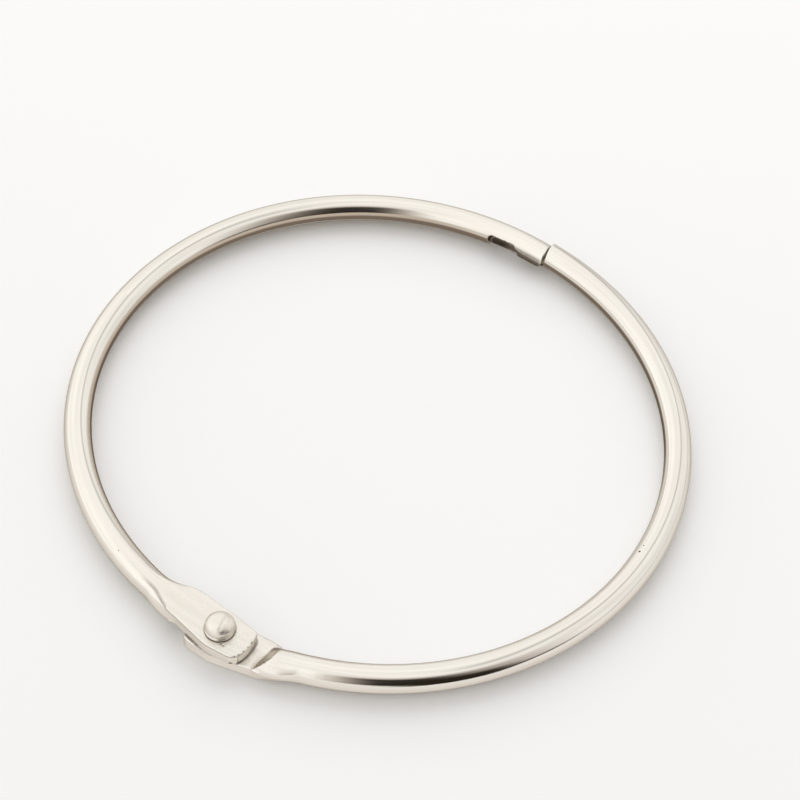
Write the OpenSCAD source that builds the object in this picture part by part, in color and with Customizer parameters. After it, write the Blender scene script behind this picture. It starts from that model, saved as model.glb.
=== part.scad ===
// Hinged binder ring: two half rings of round wire, each coined flat at its
// hinge end and stamped into a hooked lap at its other end, turning on one
// headed rivet. Both halves are struck by the same dies, one turned over.
//
// Lengths are in millimetres. The origin is the centre of the closed ring,
// on the surface that it lies on. The rivet stands on -Y, the closure on +Y.

/* [Wire] */
// Inside diameter of the closed ring
ring_inside_d = 60; // [45:1:100]
// Diameter of the round wire
wire_d = 2.9; // [2.6:0.1:3.4]

/* [Bend of the two halves] */
// How much tighter than the ring the upper half is bent, on the radius
upper_tighter = 0.48; // [0:0.01:0.7]
// How far the upper half's bend is centred away from the lower half
upper_out = 0.6; // [0:0.01:0.8]
// How far the upper half's bend is centred towards the closure
upper_up = 0.2; // [0:0.01:0.3]
// How much wider than the ring the lower half is bent, on the radius
lower_wider = 0.15; // [0:0.01:0.4]
// How far the lower half's bend is centred towards the upper half
lower_in = 0.2; // [0:0.01:0.5]
// How far the upper tongue is turned in from the ring's tangent, in degrees
upper_turn = 8.5; // [4:0.5:10]
// How far the lower tongue is turned in from the ring's tangent, in degrees
lower_turn = 1.5; // [0:0.5:6]

/* [Hinge tongue] */
// Width of the tongue across the rivet
tongue_w = 4.6; // [4.2:0.1:5.4]
// From the tongue's middle line to its outer edge, where the flare ends
heel_out = 1.7; // [1.55:0.05:2]
// From the tongue's middle line to the inner corner of the tip
tip_in = 2.15; // [1.8:0.05:2.3]
// Radius of the tip's inner corner
tip_in_r = 0.45; // [0.2:0.05:0.9]
// From the tongue's middle line to the outer corner of the tip
tip_out = 1.8; // [1.5:0.05:2.1]
// Radius of the tip's outer corner
tip_out_r = 1.1; // [0.3:0.1:1.3]
// From the rivet's axis to the crown of the tip
tongue_reach = 3.5; // [2.9:0.1:4]
// Radius of the tip's crown
tip_crown_r = 5.5; // [4:0.5:12]
// How far the coined face lies under the crown of the wire
coin_depth = 0.07; // [0.03:0.01:0.2]
// Length over which the coined face rises to the crown of the wire
coin_fade = 3; // [1:0.5:5]
// From the rivet's axis to where the wire starts to flare
flare_start = 8.5; // [8:0.1:11]
// From the rivet's axis to where the tongue has its full width
flare_end = 4.2; // [3.6:0.1:4.6]
// How far the flare bulges out at the seat, under the edge of the coined face
flare_bulge_w = 0.35; // [0:0.05:0.4]
// From the rivet's axis to the foot of the shoulder
shoulder_foot = 4.85; // [4.7:0.05:5.6]
// Length of the shoulder's slope
shoulder_run = 1.25; // [0.4:0.05:1.8]
// Radius at the foot of the shoulder
shoulder_r = 0.5; // [0.1:0.1:1]
// How far the shoulder is skewed from square to the tongue, in degrees
shoulder_skew = 10; // [0:1:12]
// Gap between the two tongues
hinge_gap = 0.04; // [0.02:0.01:0.1]

/* [Rivet] */
// Diameter of the shank where the tongue turns on it
shank_d = 1.8; // [1.4:0.1:2.2]
// Running clearance of the shank in the hole, on the radius
shank_clearance = 0.04; // [0.02:0.01:0.08]
// Diameter of the head
head_d = 3.05; // [2.6:0.05:3.6]
// Height of the head
head_h = 1.55; // [1.1:0.05:1.8]
// How far the head's face is domed
head_dome = 0.15; // [0.05:0.05:0.3]
// Radius of the head's edge
head_edge_r = 0.35; // [0.1:0.05:0.6]
// Gap under the head
head_gap = 0.03; // [0.02:0.01:0.08]
// Diameter of the hammered tail
tail_d = 2.6; // [2.3:0.1:3.2]
// Height of the hammered tail
tail_h = 0.35; // [0.3:0.05:0.6]
// How far the tail's face is domed
tail_dome = 0.1; // [0.05:0.05:0.15]
// Radius of the tail's edge
tail_edge_r = 0.15; // [0.05:0.05:0.25]

/* [Closure] */
// Length of the lap
lap_l = 6.8; // [6:0.2:10]
// How far the middle of the lap lies towards the lower half
lap_shift = 0.4; // [0:0.05:0.5]
// How far each hook stands past the middle of the wire
hook_h = 0.65; // [0.3:0.05:0.8]
// Steepness of the faces by which the hooks hold each other, in degrees
hook_angle = 62; // [45:1:80]
// Radius of the hook's leading corner
nose_r = 0.9; // [0.4:0.1:1.2]
// Radius at the back of the notch that takes the hook
notch_r = 0.4; // [0.2:0.1:0.8]
// Radius of the hook's heel
heel_r = 0.25; // [0.1:0.05:0.4]
// Gap between the halves all along the lap
lap_gap = 0.1; // [0.06:0.01:0.2]
// How much is dressed off each side of the hook
flat_depth = 0.25; // [0.1:0.01:0.4]
// From the middle of the wire to the round crown left above the flats
flat_top = 0.7; // [0.5:0.05:0.9]
// Length over which the flats run in
flat_run = 1.6; // [1:0.1:3]

/* [Hidden] */
$fn = 96;

wire_r = wire_d / 2;
ring_r = ring_inside_d / 2 + wire_r;
lap_half = lap_l / 2;
half_gap = lap_gap / 2;

// Heights are counted from the middle of the wire until the ring is laid down.
seat_z = hinge_gap / 2;
coin_z = wire_r - coin_depth;
mid_z = tail_h + coin_z;

hole_r = shank_d / 2 + shank_clearance;
past = wire_d + tongue_w;
// Where the hinge and the closure stand round the ring.
hinge_at = 270;
closure_at = 90;
corner_steps = 8;
flare_steps = 12;
side_steps = 8;
bulge_focus = 6;
// Where two formed stretches of the wire meet, one laps the other by this much.
seam = 0.02;

function unit(v) = v / norm(v);
function mix(a, b, f) = a + (b - a) * f;
function ease(f) = f * f * (3 - 2 * f);
function arc_angle(length, r) = length / r * 180 / PI;
function heading(a) = [cos(a), sin(a)];
function square_to(a) = [-sin(a), cos(a)];
function turn_between(a, b) = ((b - a + 540) % 360) - 180;

// One corner of an outline, c between p and n, rounded to radius r.
function round_corner(p, c, n, r) =
    let (
        u = unit(p - c),
        v = unit(n - c),
        half = acos(u * v) / 2,
        m = c + unit(u + v) * r / sin(half),
        from = c + u * r / tan(half) - m,
        to = c + v * r / tan(half) - m,
        a = atan2(from.y, from.x),
        sweep = turn_between(a, atan2(to.y, to.x))
    )
    [for (i = [0 : corner_steps]) m + r * heading(a + sweep * i / corner_steps)];

// An outline from corners [x, y, radius]; a radius of 0 leaves a corner sharp.
function outline(corners) =
    let (count = len(corners), at = [for (c = corners) [c.x, c.y]])
    [for (i = [0 : count - 1])
        let (p = at[(i + count - 1) % count], n = at[(i + 1) % count])
        each corners[i].z > 0 ? round_corner(p, at[i], n, corners[i].z) : [at[i]]];

// The tongue's own frame: the rivet at its origin, X towards the tip and Y
// towards the inside of the ring.
module tongue_frame(turn) {
    translate([0, -ring_r, 0]) rotate([0, 0, -turn]) children();
}

// A side profile in X and Z, cut or drawn right across the wire.
module across(profile) {
    rotate([90, 0, 0]) linear_extrude(height = 2 * past, center = true) polygon(profile);
}

// Where the bend ends and the flare starts, as an angle about the bend's centre.
function bend_end(bend_r, bend_at) = hinge_at - asin(bend_at.x / bend_r) - arc_angle(flare_start, bend_r);

// The bent wire, from past the lap round to where the flare starts.
module bent_wire(bend_r, bend_at, lap_at) {
    first = closure_at - asin((lap_at + lap_half + wire_r - bend_at.x) / bend_r);
    last = bend_end(bend_r, bend_at) + arc_angle(seam, bend_r);
    translate([bend_at.x, bend_at.y, 0])
        rotate([0, 0, first])
        rotate_extrude(angle = last - first)
        translate([bend_r, 0])
        circle(r = wire_r);
}

// Point k round the wire's own section, as [towards the inside of the ring, up].
function point_angle(k) = 90 * (k / side_steps + 0.5);
function wire_point(k) =
    let (r = wire_r / cos(45 / side_steps) + seam / 2)
    r * heading(point_angle(k));

// The same point round the coined section: a flat top on square sides down to
// the seat, with the wire still round below it.
function coined_point(k) =
    let (
        half = side_steps / 2,
        q0 = seam / 2 - heel_out,
        q1 = tongue_w / 2 - seam / 2,
        ledge = -seat_z - seam
    )
    k <= side_steps ? [mix(q1, q0, k / side_steps), wire_r] :
    k < side_steps + half ? [q0, mix(wire_r, ledge, (k - side_steps) / (half - 1))] :
    k > 3 * side_steps + half ? [q1, mix(ledge, wire_r, (k - 3 * side_steps - half - 1) / (half - 1))] :
    let (p = wire_point(k)) [p[0], min(p[1], ledge)];

// How far the outer side bulges at point k, most of it level with the seat.
function bulge_at(k) = flare_bulge_w * pow(max(0, -cos(point_angle(k))), bulge_focus);

// The line that the wire follows from its bend into the tongue, f from 0 to 1.
function flare_line(f, from, from_heading, to, to_heading) =
    let (reach = flare_start - flare_end, s = ease(f))
    mix(from, to, s) + reach * f * (1 - f) * ((1 - f) * from_heading - f * to_heading);

// The flare: the round wire spreads into the coined section.
module flare(bend_r, bend_at, turn) {
    last = bend_end(bend_r, bend_at);
    from = [bend_at.x, bend_at.y] + bend_r * heading(last);
    to = [0, -ring_r] - flare_end * heading(-turn);
    count = 4 * side_steps;
    points = [for (i = [0 : flare_steps], k = [0 : count - 1])
        let (
            f = i / flare_steps,
            a = mix(last - hinge_at, -turn, f),
            c = flare_line(f, from, heading(last - hinge_at), to, heading(-turn)),
            p = mix(wire_point(k), coined_point(k), ease(f)),
            q = p[0] - bulge_at(k) * sin(180 * f),
            at = c + q * square_to(a)
        )
        [at.x, at.y, p[1]]];
    skin = [for (i = [0 : flare_steps - 1], k = [0 : count - 1])
        let (a = i * count + k, b = i * count + (k + 1) % count)
        each [[a, a + count, b], [b, a + count, b + count]]];
    near = [for (k = [0 : count - 1]) k];
    far = [for (k = [count - 1 : -1 : 0]) flare_steps * count + k];
    polyhedron(points = points, faces = concat(skin, [near, far]), convexity = 4);
}

// Where the tip's crown lies at a distance y from the tongue's middle line.
function crown_x(y) = tongue_reach - tip_crown_r + sqrt(tip_crown_r * tip_crown_r - y * y);

// The flat tongue, from the end of the flare to its crowned tip.
module tongue() {
    side = tongue_w / 2;
    crown = [for (i = [0 : side_steps])
        let (y = mix(tip_out_r - tip_out, tip_in - tip_in_r, i / side_steps))
        [crown_x(y), y, 0]];
    sides = concat(
        [[-flare_end - seam, -heel_out, 0], [0, -side, tongue_w]],
        [[crown_x(tip_out), -tip_out, tip_out_r]],
        crown,
        [[crown_x(tip_in), tip_in, tip_in_r]],
        [[0, side, tongue_w], [-flare_end - seam, side, 0]]
    );
    translate([0, 0, -wire_r]) linear_extrude(height = wire_d) polygon(outline(sides));
}

// The punch that flattens the top of the tongue, fading out along the wire.
module coin_cut() {
    across([
        [-flare_start - coin_fade / 2, wire_r + seam],
        [-flare_start - coin_fade / 2, wire_r],
        [-flare_start + coin_fade / 2, coin_z],
        [past, coin_z],
        [past, wire_r + past],
        [-flare_start - coin_fade / 2, wire_r + past]
    ]);
}

// The step that halves the height of the wire and seats the other tongue.
module shoulder_cut() {
    translate([-shoulder_foot, 0, 0])
        rotate([0, 0, shoulder_skew])
        across(outline([
            [-shoulder_run * past / wire_r, seat_z - past, 0],
            [0, seat_z, shoulder_r],
            [2 * past, seat_z, 0],
            [2 * past, seat_z - past, 0]
        ]));
}

// What is stamped away under the lap, leaving a notch and then a hook.
module lap_cut() {
    slide = half_gap / sin(hook_angle);
    across(outline([
        [-lap_half - half_gap, -past, 0],
        [-lap_half - half_gap, hook_h + half_gap, notch_r],
        [slide - (hook_h + half_gap) / tan(hook_angle), hook_h + half_gap, heel_r],
        [slide + (hook_h - half_gap) / tan(hook_angle), half_gap - hook_h, heel_r],
        [lap_half - half_gap, half_gap - hook_h, nose_r],
        [lap_half - half_gap, past, 0],
        [lap_half + past, past, 0],
        [lap_half + past, -past, 0]
    ]));
}

// The flat dressed on the outer (1) or inner (-1) side of the hook.
module flat_cut(side, bend_r, bend_at, lap_at) {
    edge_r = bend_r + side * wire_r;
    stations = concat([for (i = [0 : side_steps]) i / side_steps], [(lap_l + wire_d) / flat_run]);
    edge = [for (f = stations)
        let (
            x = lap_at - lap_half + flat_run * f,
            depth = mix(-seam, flat_depth, ease(min(f, 1)))
        )
        [x, bend_at.y + sqrt(edge_r * edge_r - pow(x - bend_at.x, 2)) - side * depth]];
    last = len(edge) - 1;
    translate([0, 0, flat_top - 2 * past]) linear_extrude(height = 2 * past)
        polygon(concat(edge, [
            [edge[last].x, edge_r + side * wire_r],
            [edge[0].x, edge_r + side * wire_r]
        ]));
}

// One half ring with its tongue's seat facing down, as the upper half lies.
module half_ring(bend_r, bend_at, turn, lap_at) {
    difference() {
        union() {
            difference() {
                bent_wire(bend_r, bend_at, lap_at);
                flat_cut(1, bend_r, bend_at, lap_at);
                flat_cut(-1, bend_r, bend_at, lap_at);
            }
            flare(bend_r, bend_at, turn);
            tongue_frame(turn) tongue();
        }
        translate([lap_at, ring_r, 0]) lap_cut();
        tongue_frame(turn) coin_cut();
        tongue_frame(turn) shoulder_cut();
        translate([0, -ring_r, 0]) cylinder(r = hole_r, h = 2 * past, center = true);
    }
}

module upper_half() {
    color("gainsboro") translate([0, 0, mid_z])
        half_ring(ring_r - upper_tighter, [-upper_out, upper_up], upper_turn, lap_shift);
}

// Struck by the same dies, then turned over about the line from the rivet to
// the closure.
module lower_half() {
    color("gainsboro") translate([0, 0, mid_z]) rotate([0, 180, 0])
        half_ring(ring_r + lower_wider, [lower_in, 0], lower_turn, -lap_shift);
}

// A button with a domed face and a rounded edge, standing on z = 0.
module button(d, h, dome, edge_r) {
    flat = d / 2 - edge_r;
    dome_r = (flat * flat + dome * dome) / (2 * dome);
    lean = asin(flat / dome_r);
    face = [for (i = [0 : corner_steps])
        let (a = lean * i / corner_steps)
        [dome_r * sin(a), h - dome_r + dome_r * cos(a)]];
    rim = [for (i = [1 : corner_steps])
        let (a = mix(90, 0, i / corner_steps))
        [flat + edge_r * cos(a), h - dome - edge_r + edge_r * sin(a)]];
    rotate_extrude() polygon(concat([[0, 0]], face, rim, [[d / 2, 0]]));
}

// The shank turns in the upper tongue and is swollen tight in the lower one.
module rivet() {
    color("silver") translate([0, -ring_r, mid_z]) {
        translate([0, 0, coin_z + head_gap]) button(head_d, head_h, head_dome, head_edge_r);
        translate([0, 0, -coin_z]) mirror([0, 0, 1]) button(tail_d, tail_h, tail_dome, tail_edge_r);
        translate([0, 0, -coin_z]) cylinder(r = hole_r, h = coin_z);
        translate([0, 0, -coin_z]) cylinder(d = shank_d, h = 2 * coin_z + head_gap);
    }
}

lower_half();
upper_half();
rivet();
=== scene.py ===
import math

import bmesh
import bpy
from mathutils import Matrix, Vector, noise
from mathutils.bvhtree import BVHTree


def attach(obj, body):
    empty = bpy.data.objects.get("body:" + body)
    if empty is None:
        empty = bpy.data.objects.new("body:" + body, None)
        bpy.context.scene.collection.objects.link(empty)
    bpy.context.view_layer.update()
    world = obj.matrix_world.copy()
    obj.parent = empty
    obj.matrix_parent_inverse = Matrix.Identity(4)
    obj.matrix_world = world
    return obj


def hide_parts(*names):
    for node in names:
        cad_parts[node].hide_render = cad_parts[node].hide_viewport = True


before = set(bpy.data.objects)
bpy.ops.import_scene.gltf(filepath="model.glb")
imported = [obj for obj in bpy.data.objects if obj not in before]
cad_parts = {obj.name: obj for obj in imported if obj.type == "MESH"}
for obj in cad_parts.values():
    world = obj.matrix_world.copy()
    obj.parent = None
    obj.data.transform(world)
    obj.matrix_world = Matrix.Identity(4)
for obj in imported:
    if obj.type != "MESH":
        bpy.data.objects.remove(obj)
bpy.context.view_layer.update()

# ---------------------------------------------------------------------------
# Camera. It stands at arm's length with a long lens, looks down on the ring
# from the side of the hinge, and is held a few degrees off level.
# ---------------------------------------------------------------------------
stand = Vector((0.07216, -0.15203, 0.20944))
aim = Vector((0.00011, 0.00420, 0.00173))
off_level = math.radians(6.178)

long_lens = bpy.data.cameras.new("camera")
long_lens.lens = 114.89
long_lens.sensor_width = 36
long_lens.clip_start = 0.01
camera = bpy.data.objects.new("camera", long_lens)
camera.matrix_world = (
    Matrix.Translation(stand)
    @ (aim - stand).to_track_quat("-Z", "Y").to_matrix().to_4x4()
    @ Matrix.Rotation(off_level, 4, "Z")
)
bpy.context.scene.collection.objects.link(camera)
bpy.context.scene.camera = camera

# ---------------------------------------------------------------------------
# Upper half. Mild steel wire, cut off, struck flat and pierced at the hinge
# end, struck to a hook at the other, bent to a half circle, then tumbled in a
# barrel and plated with nickel, which leaves every edge soft.
# ---------------------------------------------------------------------------
# Lengths are in millimetres until a piece is finished. A pair of numbers handed
# to smooth_step or ease is where a change begins and where it ends.
MM = 1000.0
WIRE_R = 1.444
WIRE_HEIGHT = 1.73
HINGE = Vector((0, -31.45))
CLOSURE = Vector((0.4, 31.45))
TUMBLE_GRAIN = 0.075
BARREL_PASSES = 5


def smooth_step(low, high, x):
    """0 at low, 1 at high and an even curve between; high may be the lesser."""
    f = min(max((x - low) / (high - low), 0), 1)
    return f * f * (3 - 2 * f)


def set_down(shape, name):
    """Makes an object of a finished shape and links it to the scene."""
    mesh = bpy.data.meshes.new(name)
    shape.to_mesh(mesh)
    shape.free()
    thing = bpy.data.objects.new(name, mesh)
    bpy.context.scene.collection.objects.link(thing)
    return thing


def tumble(node):
    """The struck blank in millimetres, its edges rounded by the barrel."""
    blank = bmesh.new()
    blank.from_mesh(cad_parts[node].data)
    bmesh.ops.remove_doubles(blank, verts=blank.verts, dist=1e-6)
    bmesh.ops.scale(blank, vec=(MM, MM, MM), verts=blank.verts)
    holder = set_down(blank, "blank")
    grain = holder.modifiers.new("grain", "REMESH")
    grain.mode = "VOXEL"
    grain.voxel_size = TUMBLE_GRAIN
    barrel = holder.modifiers.new("barrel", "SMOOTH")
    barrel.factor = 0.5
    barrel.iterations = BARREL_PASSES
    seen = holder.evaluated_get(bpy.context.evaluated_depsgraph_get())
    tumbled = bpy.data.meshes.new_from_object(seen)
    bpy.data.objects.remove(holder)
    return tumbled


def trim(shape, at, away):
    """Cuts everything off that lies past a plane."""
    whole = shape.verts[:] + shape.edges[:] + shape.faces[:]
    bmesh.ops.bisect_plane(
        shape, geom=whole, dist=1e-5, plane_co=at, plane_no=away, clear_outer=True
    )


def bend_point(bend_at, bend_r, side, turn):
    """A point on the wire's middle line, turn radians round from the hinge."""
    return Vector((
        bend_at[0] + side * bend_r * math.sin(turn),
        bend_at[1] - bend_r * math.cos(turn),
        WIRE_HEIGHT,
    ))


def along(side, turn):
    """The wire's direction there, from the hinge towards the closure."""
    return Vector((side * math.cos(turn), math.sin(turn), 0))


def draw_true(shape, cut_at, heading, bend_at, bend_r, reach):
    """Brings the skin next to a cut back to the round of the drawn wire."""
    for v in shape.verts:
        run = abs((v.co - cut_at).dot(heading))
        hold = 1 - smooth_step(0.3 * reach, reach, run)
        if hold == 0:
            continue
        arm = Vector((v.co.x - bend_at[0], v.co.y - bend_at[1], 0))
        core = arm.normalized() * bend_r + Vector((*bend_at, WIRE_HEIGHT))
        spoke = v.co - core
        spoke.z = v.co.z - WIRE_HEIGHT
        v.co = v.co.lerp(core + spoke.normalized() * WIRE_R, hold)


def bulge_of(v):
    """How far a point stands proud of its neighbours, in grains."""
    middle = sum((e.other_vert(v).co for e in v.link_edges), Vector())
    return (v.co - middle / len(v.link_edges)).dot(v.normal) / TUMBLE_GRAIN


FLARE_START, FLARE_END = 4.4, 10.8
EDGE_BULGE = 0.10
SWAGE_BLOWS = 60


def swage(shape):
    """Works the flare smooth between the wire and the struck tongue."""
    shape.normal_update()
    flare = []
    for v in shape.verts:
        from_rivet = (v.co.xy - HINGE).length
        on_flare = v.co.y < 0 and FLARE_START < from_rivet < FLARE_END
        if on_flare and not v.is_boundary and abs(bulge_of(v)) < EDGE_BULGE:
            flare.append(v)
    for _ in range(SWAGE_BLOWS):
        bmesh.ops.smooth_vert(
            shape, verts=flare, factor=0.5, use_axis_x=True, use_axis_y=True, use_axis_z=True
        )


def mate_of(node):
    """The other half's skin in millimetres, to find where the two meet."""
    other = bmesh.new()
    other.from_mesh(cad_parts[node].data)
    bmesh.ops.scale(other, vec=(MM, MM, MM), verts=other.verts)
    skin = BVHTree.FromBMesh(other)
    other.free()
    return skin


SEAM_SEARCH = 0.4
JOIN_SHADE_REACH = (0.09, 0.18)
SEAM_HIDDEN = (0.3, 0.75)


def join_painted_shade(co, facing, mate):
    """Painted shade along the line where the other half's skin starts."""
    nearest, _, _, gap = mate.find_nearest(co, SEAM_SEARCH)
    if nearest is None:
        return 0
    hidden = smooth_step(*SEAM_HIDDEN, (nearest - co).normalized().dot(facing))
    return (1 - smooth_step(*JOIN_SHADE_REACH, gap)) * (1 - 0.7 * hidden)


# Distances from the rivet, from the closure and from the wire's middle height;
# then bulges, in grains.
TONGUE_STRUCK = (5.8, 8.6)
LAP_STRUCK = (3.2, 4.2)
LAP_FLAT = (0.25, 0.05)
RUBBED_BULGE = (0.03, 0.16)
# Hollows get painted shade, less of it at the hinge end.
CREASE_BULGE = (-0.02, -0.10)
HINGE_CREASE_SHADE = 0.4
DIE_SINK = 0.016


def strike_marks(shape, nicks, dirt_and_shade_places, mate):
    """Marks of the dies on the struck ends, where they are worn, and their dirt and painted
    shade.
    """
    struck = shape.verts.layers.float.new("struck")
    worn = shape.verts.layers.float.new("worn")
    dirt_and_shade = shape.verts.layers.float.new("dirt_and_shade")
    shape.normal_update()
    bulges = {v: bulge_of(v) for v in shape.verts}
    for v in shape.verts:
        at_closure = v.co.y > 0
        flat = smooth_step(0.55, 0.9, abs(v.normal.z))
        from_rivet = (v.co.xy - HINGE).length
        tongue = (1 - smooth_step(*TONGUE_STRUCK, from_rivet)) * (0.45 + 0.55 * flat)
        lap = 0
        if at_closure:
            lap = 0.8 * (1 - smooth_step(*LAP_STRUCK, abs(v.co.x - CLOSURE.x)))
            lap *= smooth_step(*LAP_FLAT, abs(v.co.z - WIRE_HEIGHT))
        v[struck] = max(tongue, lap)
        v[worn] = smooth_step(*RUBBED_BULGE, bulges[v])
        # Painted shade in hollows and along the join with the other half, and each place's
        # own dirt and painted shade.
        v[dirt_and_shade] = max(
            smooth_step(*CREASE_BULGE, bulges[v]) * (1 if at_closure else HINGE_CREASE_SHADE),
            join_painted_shade(v.co, v.normal, mate),
            dirt_and_shade_places(v.co, v.normal),
        )
    for v in shape.verts:
        if v[struck] > 0:
            dapple = 0.7 * noise.noise(v.co * 0.9) + 0.3 * noise.noise(v.co * 3.1)
            v.co -= v.normal * v[struck] * DIE_SINK * (1 + dapple)
        for at, size, depth in nicks:
            gap = (v.co - Vector(at)).length
            if gap < size:
                press = 1 - smooth_step(0.2 * size, size, gap)
                v.co -= v.normal * depth * press
                # A nick is pressed in and darkened.
                v[dirt_and_shade] = max(v[dirt_and_shade], press)


HOOK_RUN = (2.9, 3.6)
HOOK_CROWN = (WIRE_HEIGHT + 0.85, WIRE_HEIGHT + 0.45)
HOOK_BUTT = (0.3, -1.3)


def hook_painted_shade(co, facing):
    """Painted shade on the hook's inner flat below its crown, deeper towards -x."""
    inward = smooth_step(0.55, 0.9, -facing.y) * (co.y > 0)
    under = smooth_step(*HOOK_CROWN, co.z)
    darkening = 0.58 + 0.36 * smooth_step(*HOOK_BUTT, co.x)
    return darkening * inward * under * (1 - smooth_step(*HOOK_RUN, abs(co.x - CLOSURE.x)))


# Painted shade: a thin line along the crease at the tongue's outer edge, and a ring round
# the foot of the rivet's head.
CREASE_SHADE_HEIGHT = 2.95
CREASE_SHADE_WIDTH = (0.04, 0.12)
CREASE_SHADE_FADE = (-10.4, -8.0)
TONGUE_SIDE = -25
HEAD_FOOT_R = 1.56
HEAD_FOOT_SHADE = (0.0, 0.12)
HEAD_OFF = 0.10


def upper_painted_shade(co, facing):
    """Painted shade round the rivet head's foot, along the tongue's edge crease, and on the
    hook.
    """
    crease_shade = 1 - smooth_step(*CREASE_SHADE_WIDTH, abs(co.z - CREASE_SHADE_HEIGHT))
    crease_shade *= smooth_step(-0.15, -0.35, facing.y) * (co.y < TONGUE_SIDE)
    crease_shade *= smooth_step(*CREASE_SHADE_FADE, co.x)
    from_foot = abs((co.xy - HINGE - Vector((0, HEAD_OFF))).length - HEAD_FOOT_R)
    foot_shade = (1 - smooth_step(*HEAD_FOOT_SHADE, from_foot)) * (facing.z > 0.8)
    return max(0.6 * foot_shade, 0.5 * crease_shade, hook_painted_shade(co, facing))


def finish_piece(shape, piece_name):
    """Brings a shape to metres, shades it smooth and sets it down."""
    bmesh.ops.scale(shape, vec=(1 / MM, 1 / MM, 1 / MM), verts=shape.verts)
    for face in shape.faces:
        face.smooth = True
    return set_down(shape, piece_name)


# How much of each end is kept as struck, along the wire from the hinge and
# across from the closure; how far its skin is drawn true beside the cut; and
# the gap that is bridged to the fresh wire.
HINGE_KEPT, HINGE_TRUE = 11.3, 2.4
LAP_KEPT, LAP_TRUE = 4.5, 0.9
BRIDGED_GAP = 0.12
WIRE_SEGMENTS = 72
BEND_STEPS = 150


def half_ring(piece_name, node, mate_node, side, bend_at, bend_r, nicks, dirt_and_shade_places):
    """One half: the tumbled hinge and hook ends on a fresh length of wire."""
    tumbled = tumble(node)
    mate = mate_of(mate_node)
    hinge_turn = HINGE_KEPT / bend_r
    lap_turn = math.pi - math.asin(
        (side * (CLOSURE.x - bend_at[0]) + LAP_KEPT) / bend_r
    )
    shape = bmesh.new()
    for turn, towards, end_y, reach in (
        (hinge_turn, 1, -1, HINGE_TRUE),
        (lap_turn, -1, 1, LAP_TRUE),
    ):
        end = bmesh.new()
        end.from_mesh(tumbled)
        cut_at = bend_point(bend_at, bend_r, side, turn)
        heading = along(side, turn)
        trim(end, (0, 0, 0), (0, -end_y, 0))
        trim(end, cut_at, towards * heading)
        swage(end)
        draw_true(end, cut_at, heading, bend_at, bend_r, reach)
        strike_marks(end, nicks, dirt_and_shade_places, mate)
        kept = bpy.data.meshes.new("end")
        end.to_mesh(kept)
        end.free()
        shape.from_mesh(kept)

    # The wire's own length is drawn through a round die and bent round a former.
    gap_turn = BRIDGED_GAP / bend_r
    start = bend_point(bend_at, bend_r, side, hinge_turn + gap_turn)
    across = Matrix((
        (start - Vector((*bend_at, WIRE_HEIGHT))).normalized(),
        Vector((0, 0, 1)),
        along(side, hinge_turn + gap_turn),
    )).transposed().to_4x4()
    wire = bmesh.new()
    ring = bmesh.ops.create_circle(
        wire, segments=WIRE_SEGMENTS, radius=WIRE_R,
        matrix=Matrix.Translation(start) @ across,
    )["verts"]
    bmesh.ops.spin(
        wire, geom=ring + wire.edges[:], cent=(*bend_at, 0), axis=(0, 0, 1), dvec=(0, 0, 0),
        angle=side * (lap_turn - hinge_turn - 2 * gap_turn), steps=BEND_STEPS,
        use_merge=False, use_normal_flip=False, use_duplicate=False,
    )
    drawn = bpy.data.meshes.new("wire")
    wire.to_mesh(drawn)
    wire.free()
    shape.from_mesh(drawn)
    for end_y in (-1, 1):
        open_rims = [
            e for e in shape.edges
            if e.is_boundary and e.verts[0].co.y * end_y > 0
        ]
        bmesh.ops.bridge_loops(shape, edges=open_rims)
    bmesh.ops.recalc_face_normals(shape, faces=shape.faces)
    return finish_piece(shape, piece_name)


class Wiring:
    """The nodes of a material or of the world, wired one after another."""

    def __init__(self, owner):
        self.owner = owner
        owner.use_nodes = True
        self.nodes = owner.node_tree.nodes
        self.nodes.clear()
        self.links = owner.node_tree.links

    def add(self, kind, inputs=None, **settings):
        node = self.nodes.new(kind)
        for key, value in settings.items():
            setattr(node, key, value)
        for key, value in (inputs or {}).items():
            if isinstance(value, bpy.types.NodeSocket):
                self.links.new(value, node.inputs[key])
            else:
                node.inputs[key].default_value = value
        return node

    def math(self, operation, *values):
        inputs = dict(enumerate(values))
        return self.add("ShaderNodeMath", inputs, operation=operation).outputs[0]

    def product(self, first, *others):
        for other in others:
            first = self.math("MULTIPLY", first, other)
        return first

    def rest_of(self, value):
        return self.math("SUBTRACT", 1.0, value)

    def blend(self, factor, low, high):
        inputs = {0: factor, 6: low, 7: high}
        return self.add("ShaderNodeMix", inputs, data_type="RGBA").outputs[2]

    def spread(self, value, low, high, to_low, to_high, kind="LINEAR"):
        inputs = {0: value, 1: low, 2: high, 3: to_low, 4: to_high}
        return self.add("ShaderNodeMapRange", inputs, interpolation_type=kind).outputs[0]

    def ease(self, value, low, high):
        return self.spread(value, low, high, 0.0, 1.0, "SMOOTHSTEP")

    def measure(self, name):
        return self.add("ShaderNodeAttribute", attribute_name=name).outputs["Fac"]

    def cloud(self, vector, size, detail):
        inputs = {"Vector": vector, "Scale": MM / size, "Detail": detail}
        return self.add("ShaderNodeTexNoise", inputs).outputs[0]

    def place(self):
        return self.add("ShaderNodeTexCoord").outputs["Object"]

    def split(self, vector):
        return self.add("ShaderNodeSeparateXYZ", {0: vector}).outputs

    def radius(self, xyz):
        x_squared = self.math("POWER", xyz[0], 2.0)
        y_squared = self.math("POWER", xyz[1], 2.0)
        return self.math("SQRT", self.math("ADD", x_squared, y_squared))

    def bearing(self, xyz):
        return self.math("ARCTAN2", xyz[1], xyz[0])


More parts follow.
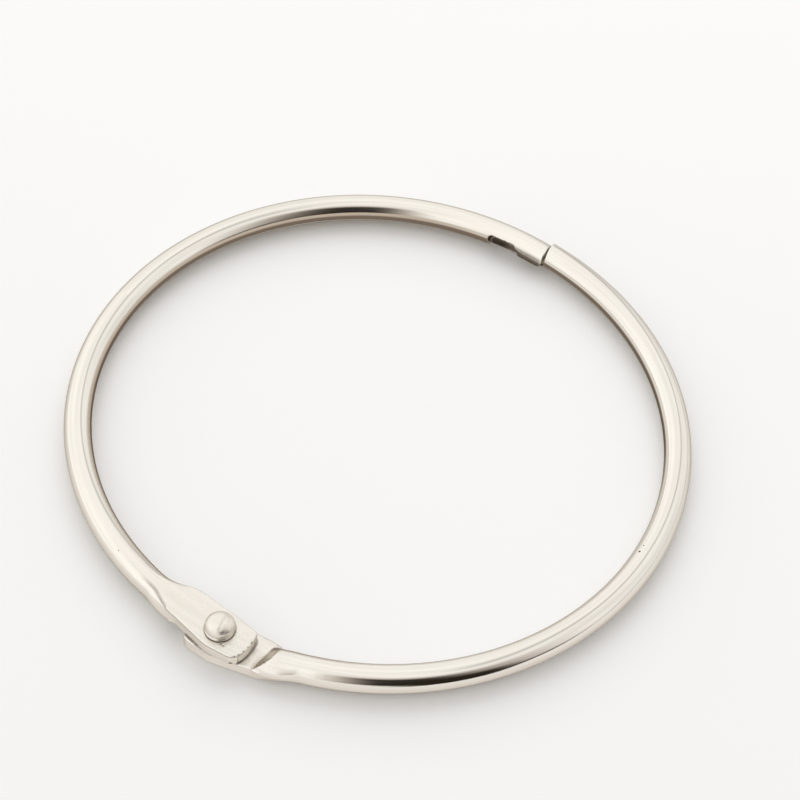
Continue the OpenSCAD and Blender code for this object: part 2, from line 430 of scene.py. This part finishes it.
# The grain of each mark in the plate, and the lengthwise pull of the lines
# that the drawing die leaves.
DRAW_LINE_GRAIN, RUB_GRAIN, BLOOM_GRAIN, DIE_GRAIN = 0.14, 0.5, 4.5, 0.16
DRAW_PULL = 0.0007
DRAW_LINE_DEPTH, DIE_DEPTH = 6e-6, 2.2e-5
RUBBED_BRIGHT = (0.93, 0.91, 0.88, 1)
# The colour both of dirt and of painted shade.
DIRT_AND_SHADE_COLOUR = (0.058, 0.040, 0.027, 1)
NICKEL_EDGE = (0.60, 0.58, 0.54, 1)


def nickel_plate(name, tint, polish, specks=()):
    """Bright nickel over drawn wire, gone satin where the dies struck it."""
    w = Wiring(bpy.data.materials.new(name))
    place = w.place()
    xyz = w.split(place)
    drawn = w.add("ShaderNodeCombineXYZ", {
        0: w.radius(xyz), 1: xyz[2], 2: w.product(w.bearing(xyz), DRAW_PULL),
    }).outputs[0]
    draw_lines = w.cloud(drawn, DRAW_LINE_GRAIN, 3)
    rub = w.cloud(drawn, RUB_GRAIN, 2)
    bloom = w.cloud(place, BLOOM_GRAIN, 3)
    grain = w.cloud(place, DIE_GRAIN, 5)
    struck = w.measure("struck")
    worn = w.measure("worn")
    dirt_and_shade = w.measure("dirt_and_shade")
    for at, size in specks:
        points = {0: place, 1: Vector(at) / MM}
        apart = w.add("ShaderNodeVectorMath", points, operation="DISTANCE").outputs["Value"]
        dirt_and_shade = w.math("MAXIMUM", dirt_and_shade, w.ease(apart, size / MM, 0.4 * size / MM))

    cream = (tint[0], tint[1], tint[2], 1)
    rose = (tint[0], tint[1] * 0.975, tint[2] * 0.985, 1)
    grey = (tint[0] * 0.86, tint[1] * 0.85, tint[2] * 0.84, 1)
    plate = w.blend(w.spread(bloom, 0.35, 0.65, 0, 1), cream, rose)
    plate = w.blend(w.spread(rub, 0.42, 0.66, 0, 0.4), plate, grey)
    plate = w.blend(w.product(struck, w.spread(grain, 0.48, 0.70, 0, 0.32)), plate, grey)
    plate = w.blend(w.product(worn, 0.6), plate, RUBBED_BRIGHT)
    # Dirt (specks, grime on the shoulder) and painted shade (hollows, joins, the head's
    # foot, the hooks) darken the plate here.
    darkening = w.product(dirt_and_shade, w.math("MAXIMUM", dirt_and_shade, w.spread(grain, 0.36, 0.62, 0.70, 1.0)))
    plate = w.blend(darkening, plate, DIRT_AND_SHADE_COLOUR)

    rough = w.spread(draw_lines, 0.3, 0.7, polish - 0.04, polish + 0.06)
    rough = w.math("ADD", rough, w.product(struck, w.spread(grain, 0.3, 0.7, 0.13, 0.25)))
    rough = w.math("ADD", rough, w.product(darkening, 0.25))
    lined = w.add("ShaderNodeBump", {
        "Strength": 0.25, "Distance": DRAW_LINE_DEPTH,
        "Height": w.product(draw_lines, w.rest_of(struck)),
    }).outputs[0]
    grained = w.add("ShaderNodeBump", {
        "Strength": 0.7, "Distance": DIE_DEPTH,
        "Height": w.product(grain, struck), "Normal": lined,
    }).outputs[0]
    shader = w.add("ShaderNodeBsdfPrincipled", {
        "Base Color": plate, "Metallic": 1.0, "Roughness": rough, "Normal": grained,
        "Specular Tint": NICKEL_EDGE,
    }).outputs[0]
    w.add("ShaderNodeOutputMaterial", {"Surface": shader})
    return w.owner


# Each nick in the tongue's edge, by place, size and depth; each speck on the
# plate, by place and size; and each half's bend, by its middle and radius.
TIP_NICKS = [
    ((2.59, -33.60, 1.90), 0.32, 0.03), ((2.88, -33.37, 3.04), 0.15, 0.06),
    ((3.13, -33.00, 3.07), 0.13, 0.05), ((3.36, -32.40, 3.05), 0.16, 0.06),
    ((3.47, -31.75, 3.07), 0.13, 0.05), ((3.50, -31.10, 3.05), 0.16, 0.06),
    ((1.02, -32.80, 3.10), 0.14, 0.04), ((1.30, -32.88, 3.10), 0.12, 0.04),
]
UPPER_SPECKS = [((-13.5, -28.74, 2.98), 0.09)]
UPPER_BEND_AT, UPPER_BEND_R = (-0.6, 0.2), 30.97

upper_half = half_ring(
    "upper_half_ring", "upper_half", "lower_half", -1, UPPER_BEND_AT, UPPER_BEND_R,
    nicks=TIP_NICKS,
    dirt_and_shade_places=upper_painted_shade,
)
upper_half.data.materials.append(nickel_plate(
    "nickel_upper", (0.885, 0.858, 0.785), 0.11, specks=UPPER_SPECKS
))
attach(upper_half, "upper")
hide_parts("upper_half")

# ---------------------------------------------------------------------------
# Lower half. The same stamping turned over, bent a shade wider. Its seat and
# shoulder face up, so the grain of the dies shows on them.
# ---------------------------------------------------------------------------
LOWER_SPECKS = [((30.71, -0.86, 3.01), 0.17), ((30.73, 0.03, 3.01), 0.10)]
LOWER_BEND_AT, LOWER_BEND_R = (-0.2, 0.0), 31.60
SHOULDER_START, SHOULDER_END = 4.7, 7.2
SHOULDER_INNER_END = (0.9, 1.8)


def lower_dirt_and_shade(co, facing):
    """The shoulder darkened towards its inner end, partly grime in its grain and partly
    painted shade, and painted shade on the hook.
    """
    from_hinge = co.xy - HINGE
    beside_tongue = SHOULDER_START < from_hinge.x < SHOULDER_END
    shoulder = smooth_step(0.2, 0.5, -facing.x) * beside_tongue * (co.z > WIRE_HEIGHT + 0.1)
    inner_end = 0.02 + 0.90 * smooth_step(*SHOULDER_INNER_END, from_hinge.y)
    return max(shoulder * inner_end, hook_painted_shade(co, facing))


lower_half = half_ring(
    "lower_half_ring", "lower_half", "upper_half", 1, LOWER_BEND_AT, LOWER_BEND_R,
    nicks=[],
    dirt_and_shade_places=lower_dirt_and_shade,
)
lower_half.data.materials.append(nickel_plate(
    "nickel_lower", (0.885, 0.858, 0.79), 0.10, specks=LOWER_SPECKS
))
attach(lower_half, "lower")
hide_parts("lower_half")

# ---------------------------------------------------------------------------
# Rivet. A headed steel pin: the upper tongue turns on its shank, and its tail
# is hammered over under the lower tongue, which it grips. Plated with the ring.
# ---------------------------------------------------------------------------
HEAD_R = 1.525
HEAD_FOOT = 3.14
HEAD_TOP = 4.69
HEAD_SHOULDER = HEAD_TOP - 0.30
HEAD_ROUND = 0.72
HEAD_DOME = 0.0715
SHANK_R = 0.9
GRIPPED_R = 0.94
TAIL_R = 1.3
TAIL_TOP = 0.35
TAIL_CORNER = 0.1
TAIL_ROUND = 0.15

pin = bmesh.new()
outline = [
    (0, HEAD_TOP), (HEAD_R, HEAD_SHOULDER), (HEAD_R, HEAD_FOOT), (SHANK_R, HEAD_FOOT),
    (SHANK_R, WIRE_HEIGHT), (GRIPPED_R, WIRE_HEIGHT), (GRIPPED_R, TAIL_TOP),
    (TAIL_R, TAIL_TOP), (TAIL_R, TAIL_CORNER), (0, 0),
]
knots = [pin.verts.new((r, 0, z)) for r, z in outline]
for pair in zip(knots, knots[1:]):
    pin.edges.new(pair)
head_corner = knots[outline.index((HEAD_R, HEAD_SHOULDER))]
tail_corner = knots[outline.index((TAIL_R, TAIL_CORNER))]
for corner, rounding, facets in ((head_corner, HEAD_ROUND, 8), (tail_corner, TAIL_ROUND, 5)):
    bmesh.ops.bevel(
        pin, geom=[corner], offset=rounding, offset_type="OFFSET", affect="VERTICES",
        segments=facets, profile=0.5, material=-1,
    )
long_sides = [e for e in pin.edges if e.calc_length() > 0.5]
bmesh.ops.subdivide_edges(pin, edges=long_sides, cuts=11)
for v in pin.verts:
    if v.co.z > HEAD_TOP - 0.2:
        v.co.z += HEAD_DOME * math.sin(math.pi * min(v.co.x / HEAD_R, 1)) - 0.02
bmesh.ops.spin(
    pin, geom=pin.verts[:] + pin.edges[:], cent=(0, 0, 0), axis=(0, 0, 1), dvec=(0, 0, 0),
    angle=math.tau, steps=96, use_merge=True, use_normal_flip=False, use_duplicate=False,
)
bmesh.ops.remove_doubles(pin, verts=pin.verts, dist=1e-4)
bmesh.ops.recalc_face_normals(pin, faces=pin.faces)

# Each hammer blow leaves a flat, by the way it faces and how far out it lies.
# A shallow, slanted groove runs over the top, and the head sits HEAD_OFF aside.
HAMMER_BLOWS = [
    (Vector((0.20, 0.02, 0.98)), 4.66), (Vector((0.60, 0.30, 0.74)), 4.33),
    (Vector((-0.45, -0.55, 0.70)), 4.22), (Vector((0.05, -0.70, 0.71)), 4.18),
]
BLOW_SINK = 0.55
GROOVE_X, GROOVE_SLANT, GROOVE_DEPTH = 0.42, 0.12, 0.035
GROOVE_SIDE = (0.05, 0.3)
GROOVE_ENDS = (1.4, 0.9)
HEAD_PEENED = 0.02
HEAD_STRUCK = 0.7
UNDER_HEAD_SHADE = (0.0, 0.16)

pin_struck = pin.verts.layers.float.new("struck")
pin.verts.layers.float.new("worn")
pin_painted_shade = pin.verts.layers.float.new("dirt_and_shade")
for v in pin.verts:
    if v.co.z > HEAD_TOP - 0.5:
        from_groove = abs(v.co.x - GROOVE_X + GROOVE_SLANT * v.co.y)
        sunk = GROOVE_DEPTH * (1 - smooth_step(*GROOVE_SIDE, from_groove))
        v.co.z -= sunk * smooth_step(*GROOVE_ENDS, v.co.xy.length)
    for face_on, stop in HAMMER_BLOWS:
        facing = face_on.normalized()
        proud = v.co.dot(facing) - stop
        if proud > 0 and v.co.z > HEAD_FOOT + 0.4:
            v.co -= facing * proud * BLOW_SINK
    if v.co.z > HEAD_FOOT + 0.3:
        outwards = Vector((v.co.x, v.co.y, 0.4)).normalized()
        v.co -= outwards * HEAD_PEENED * (1 + noise.noise(v.co * 1.7))
        v[pin_struck] = HEAD_STRUCK
        v.co.y += HEAD_OFF
    # Painted shade on the head's side and underside, darkest at its foot.
    if v.co.xy.length > 1 and v.co.z > 2:
        v[pin_painted_shade] = 1 - smooth_step(*UNDER_HEAD_SHADE, v.co.z - HEAD_FOOT)
bmesh.ops.smooth_vert(
    pin, verts=pin.verts, factor=0.5, use_axis_x=True, use_axis_y=True, use_axis_z=True
)
bmesh.ops.translate(pin, vec=(0, HINGE.y, 0), verts=pin.verts)
rivet = finish_piece(pin, "rivet_pin")
rivet.data.materials.append(nickel_plate("nickel_rivet", (0.88, 0.85, 0.775), 0.20))
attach(rivet, "lower")
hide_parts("rivet")

# ---------------------------------------------------------------------------
# Floor. A sheet of matt white card, so wide that its edges are never seen. It
# lies loose under the ring and is no part of it.
# ---------------------------------------------------------------------------
SHEET_HALF_WIDTH = 1.5
CARD_WHITE = (0.96, 0.96, 0.96, 1)

sheet = bmesh.new()
bmesh.ops.create_grid(sheet, x_segments=1, y_segments=1, size=SHEET_HALF_WIDTH)
floor = set_down(sheet, "floor")
paper = Wiring(bpy.data.materials.new("white_card"))
matt = paper.add("ShaderNodeBsdfDiffuse", {"Color": CARD_WHITE}).outputs[0]
paper.add("ShaderNodeOutputMaterial", {"Surface": matt})
floor.data.materials.append(paper.owner)

# ---------------------------------------------------------------------------
# Light. A white cloth tent with a seam and a darker hem, open to a dark room
# in front and to the right, and one soft box over the far side. Glowing cards
# of painted shade lie by the wire and stand low in front of it, where only the
# metal sees them, as painted reflections of shade.
# ---------------------------------------------------------------------------
# The tent is squared to a line that lies TENT_TURN round from the ring's own.
# Bearings run from straight ahead, positive to the right, in radians.
TENT_TURN = math.radians(25.39)
TENT_WHITE = (1, 0.99, 0.975, 1)
ROOM_TINT = (1, 0.86, 0.75, 1)
WALL_BRIGHT, WALL_FALL = 1.035, 0.10
DOOR_LEFT, DOOR_RIGHT, DOOR_TOP = (-0.30, 0.15), (1.4, 0.33), (0.94, 0.70)
DOOR_SHADE = 0.97
SEAM_LEFT, SEAM_RIGHT, SEAM_END = (0.15, 0.27), (0.40, 0.27), (-0.25, 0.05)
SEAM_SHADE = 0.38
HEM_LEFT, HEM_TOP = (0.3, 0.8), (0.24, 0.08)
HEM_FADE, HEM_SHADES = (1.00, 1.28), (0.92, 0.22)
FOLD_SHADES = (0.93, 1.03)
MATT_SHARE = 0.88

tent = Wiring(bpy.data.worlds.new("tent"))
bpy.context.scene.world = tent.owner
outward = tent.add("ShaderNodeTexCoord").outputs["Generated"]
turned = tent.add(
    "ShaderNodeVectorRotate", {"Vector": outward, "Angle": -TENT_TURN},
    rotation_type="Z_AXIS",
).outputs[0]
right, back, height = tent.split(turned)
bearing = tent.math("ARCTAN2", right, tent.product(back, -1.0))
wall = tent.math("SUBTRACT", WALL_BRIGHT, tent.product(right, WALL_FALL))
door = tent.product(
    tent.ease(bearing, *DOOR_LEFT), tent.ease(bearing, *DOOR_RIGHT),
    tent.ease(height, *DOOR_TOP),
)
seam_width = tent.product(tent.ease(right, *SEAM_LEFT), tent.ease(right, *SEAM_RIGHT))
seam = tent.product(seam_width, tent.product(tent.ease(back, *SEAM_END), SEAM_SHADE))
hem_area = tent.product(tent.ease(height, *HEM_TOP), tent.ease(bearing, *HEM_LEFT))
hem = tent.product(tent.spread(bearing, *HEM_FADE, *HEM_SHADES), hem_area)
billow = tent.add("ShaderNodeTexNoise", {"Vector": outward, "Scale": 2.3, "Detail": 1.5})
folds = tent.spread(billow.outputs[0], 0.38, 0.62, *FOLD_SHADES)
ray = tent.add("ShaderNodeLightPath").outputs
mirrored = tent.math("MAXIMUM", ray["Is Glossy Ray"], ray["Is Transmission Ray"])
looked_at = tent.math("MAXIMUM", ray["Is Camera Ray"], mirrored)
strength = tent.product(
    wall,
    tent.rest_of(tent.product(door, DOOR_SHADE)),
    tent.rest_of(tent.math("MAXIMUM", seam, hem)),
    tent.product(folds, tent.spread(looked_at, 0, 1, MATT_SHARE, 1.0)),
)
shade = tent.blend(door, TENT_WHITE, ROOM_TINT)
cloth = tent.add("ShaderNodeBackground", {"Color": shade, "Strength": strength}).outputs[0]
tent.add("ShaderNodeOutputWorld", {"Surface": cloth})

soft_box = bpy.data.lights.new("soft_box", "AREA")
soft_box.shape = "SQUARE"
soft_box.size = 0.6
soft_box.energy = 1.3
lamp = bpy.data.objects.new("soft_box", soft_box)
lamp_stand = Vector((-0.19, 0.41, 0.42))
towards_ring = (-lamp_stand).to_track_quat("-Z", "Y").to_matrix().to_4x4()
lamp.matrix_world = Matrix.Translation(lamp_stand) @ towards_ring
lamp.visible_glossy = False
bpy.context.scene.collection.objects.link(lamp)


def painted_shade_card(name, shape, colour, cover=None):
    """A glowing card of painted shade: the metal sees it, the camera and the floor don't."""
    card = set_down(shape, name)
    w = Wiring(bpy.data.materials.new(name))
    xyz = w.split(w.place())
    glow = w.add("ShaderNodeEmission", {"Color": colour(w, xyz)}).outputs[0]
    if cover:
        clear = w.add("ShaderNodeBsdfTransparent").outputs[0]
        glow = w.add("ShaderNodeMixShader", {0: cover(w, xyz), 1: clear, 2: glow}).outputs[0]
    w.add("ShaderNodeOutputMaterial", {"Surface": glow})
    card.data.materials.append(w.owner)
    card.visible_camera = False
    card.visible_diffuse = False
    card.visible_shadow = False


def lathe(profile):
    """A ring of painted-shade card from (radius, height) points in millimetres."""
    shape = bmesh.new()
    knots = [shape.verts.new((r / MM, 0, z / MM)) for r, z in profile]
    for pair in zip(knots, knots[1:]):
        shape.edges.new(pair)
    bmesh.ops.spin(
        shape, geom=shape.verts[:] + shape.edges[:], cent=(0, 0, 0), axis=(0, 0, 1),
        dvec=(0, 0, 0), angle=math.tau, steps=128,
        use_merge=True, use_normal_flip=False, use_duplicate=False,
    )
    return shape


# The painted-shade cards' outlines are (radius, height) points in millimetres.
# The shader works in metres, as do the low card's own measures.
INNER_SHADE_OUTLINE = [(29.9, 0.1), (27.6, 0.1), (27.6, 2.4)]
INNER_FOOT, INNER_FOOT_HEIGHT = (0.20, 0.16, 0.13, 1), (0.0001, 0.0012)
INNER_PALE, INNER_TAN = (0.80, 0.77, 0.73, 1), (0.58, 0.50, 0.43, 1)
INNER_NEAR = (0.80, 0.77, 0.74, 1)
PALE_BEARING, PALE_REACH = 0.35, (1.05, 1.7)
NEAR_BEARING, NEAR_REACH = -0.40, (1.0, 0.55)


def inner_painted_shade(w, xyz):
    """Painted shade: dark at the foot; above it tan on the far left, and pale on the right.
    """
    angle = w.bearing(xyz)
    from_pale = w.math("ABSOLUTE", w.math("SUBTRACT", angle, PALE_BEARING))
    from_near = w.math("ABSOLUTE", w.math("SUBTRACT", angle, NEAR_BEARING))
    upper = w.blend(w.ease(from_pale, *PALE_REACH), INNER_PALE, INNER_TAN)
    strip = w.blend(w.ease(xyz[2], *INNER_FOOT_HEIGHT), INNER_FOOT, upper)
    return w.blend(w.ease(from_near, *NEAR_REACH), strip, INNER_NEAR)


OUTER_SHADE_OUTLINE = [(32.6, 0.1), (46, 0.1), (88, 0.1)]
OUTER_FADE = (0.0335, 0.046)
OUTER_BY_WIRE, OUTER_FAR = (0.84, 0.80, 0.77, 1), (0.90, 0.88, 0.86, 1)


def outer_painted_shade(w, xyz):
    """Shaded next to the wire, paler further out."""
    return w.blend(w.ease(w.radius(xyz), *OUTER_FADE), OUTER_BY_WIRE, OUTER_FAR)


LOW_SHADE_AT = (0.018, -0.046, 0.010)
LOW_SHADE_HALF_WIDTH, LOW_SHADE_HALF_HEIGHT = 0.026, 0.0098
LOW_SHADE_LEFT, LOW_SHADE_RIGHT = (0.001, 0.013), (0.042, 0.026)
LOW_SHADE_TOP = (0.020, 0.010)
REFLECTED_BLACK = (0.02, 0.015, 0.01, 1)


def low_painted_shade(w, xyz):
    """Painted shade, black all over."""
    return REFLECTED_BLACK


def low_painted_shade_cover(w, xyz):
    """Whole in the middle, soft at its two ends and along its top."""
    across = w.math(
        "ADD", w.product(xyz[0], math.cos(TENT_TURN)), w.product(xyz[1], math.sin(TENT_TURN))
    )
    ends = w.product(w.ease(across, *LOW_SHADE_LEFT), w.ease(across, *LOW_SHADE_RIGHT))
    return w.product(ends, w.ease(xyz[2], *LOW_SHADE_TOP))


painted_shade_card("inner_painted_shade", lathe(INNER_SHADE_OUTLINE), inner_painted_shade)
painted_shade_card("outer_painted_shade", lathe(OUTER_SHADE_OUTLINE), outer_painted_shade)
low_shape = bmesh.new()
bmesh.ops.create_grid(low_shape, x_segments=1, y_segments=1, size=1)
for v in low_shape.verts:
    v.co = Vector((
        LOW_SHADE_AT[0] + LOW_SHADE_HALF_WIDTH * v.co.x,
        LOW_SHADE_AT[1],
        LOW_SHADE_AT[2] + LOW_SHADE_HALF_HEIGHT * v.co.y,
    ))
bmesh.ops.rotate(
    low_shape, cent=(0, 0, 0), matrix=Matrix.Rotation(TENT_TURN, 3, "Z"),
    verts=low_shape.verts,
)
painted_shade_card("low_painted_shade", low_shape, low_painted_shade, low_painted_shade_cover)

bpy.context.scene.view_settings.view_transform = "Standard"
